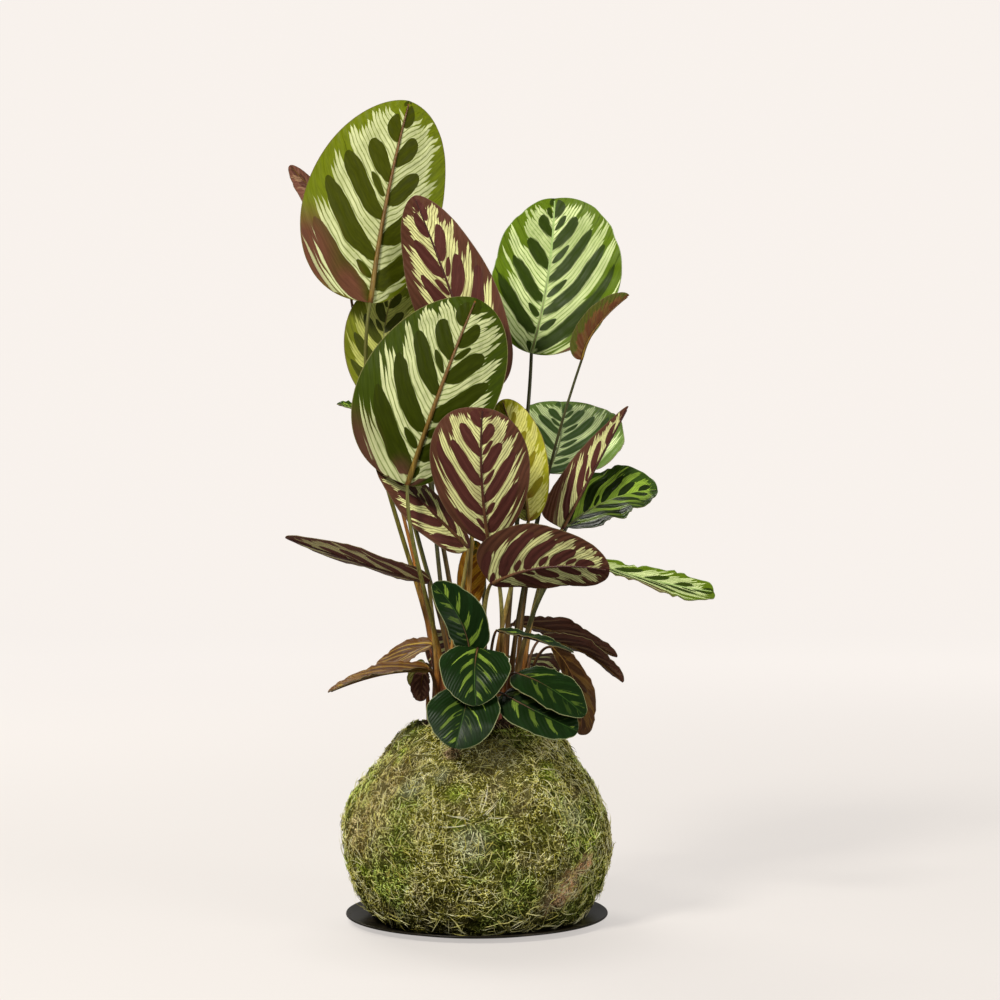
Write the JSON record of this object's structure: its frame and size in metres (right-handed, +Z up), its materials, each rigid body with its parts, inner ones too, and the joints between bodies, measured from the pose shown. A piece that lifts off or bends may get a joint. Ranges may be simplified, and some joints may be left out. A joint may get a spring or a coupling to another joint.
{
  "type": "kokedama moss ball plant",
  "caption": "Peacock plant with patterned oval leaves on thin stems, growing from a moss-wrapped ball of soil on a shallow round dish.",
  "frame": {"origin": "centre of the dish's underside, on the surface that the plant stands on", "axes": "+Z up; -Y towards the side that the picture shows; +X to that view's right"},
  "size_m": [0.327, 0.2451, 0.6273],
  "materials": {
    "dish": "satin",
    "moss": "matte",
    "soil": "matte",
    "leaf_green": "satin",
    "leaf_purple": "satin",
    "leaf_young": "satin",
    "leaf_yellow": "satin",
    "leaf_amber": "satin"
  },
  "bodies": {
    "root": {"dish": "dish", "moss_cover": "moss", "soil_ball": "soil", "leaf_top_left": "leaf_green", "leaf_big_green": "leaf_green", "leaf_right_top": "leaf_green", "leaf_right_back": "leaf_green", "leaf_right_green": "leaf_green", "leaf_far_right": "leaf_green", "leaf_behind_top": "leaf_green", "leaf_left_tip": "leaf_green", "leaf_back_left": "leaf_green", "leaf_back_top": "leaf_green", "leaf_back_middle": "leaf_green", "leaf_back_low": "leaf_green", "leaf_back_low_right": "leaf_green", "leaf_upper_purple": "leaf_purple", "leaf_front_purple": "leaf_purple", "leaf_front_lying": "leaf_purple", "leaf_narrow_right": "leaf_purple", "leaf_folded_purple": "leaf_purple", "leaf_far_left": "leaf_purple", "leaf_left_low": "leaf_purple", "leaf_left_lowest": "leaf_purple", "leaf_left_hanging": "leaf_purple", "leaf_brown_hanging": "leaf_purple", "leaf_brown_right": "leaf_purple", "leaf_brown_right_low": "leaf_purple", "leaf_under_front": "leaf_purple", "leaf_young_centre": "leaf_young", "leaf_young_lowest": "leaf_young", "leaf_young_upright": "leaf_young", "leaf_young_right": "leaf_young", "leaf_young_right_low": "leaf_young", "leaf_front_edge": "leaf_young", "leaf_yellow": "leaf_yellow", "leaf_left_small": "leaf_yellow", "leaf_olive": "leaf_yellow", "leaf_amber": "leaf_amber"}
  },
  "joints": []
}
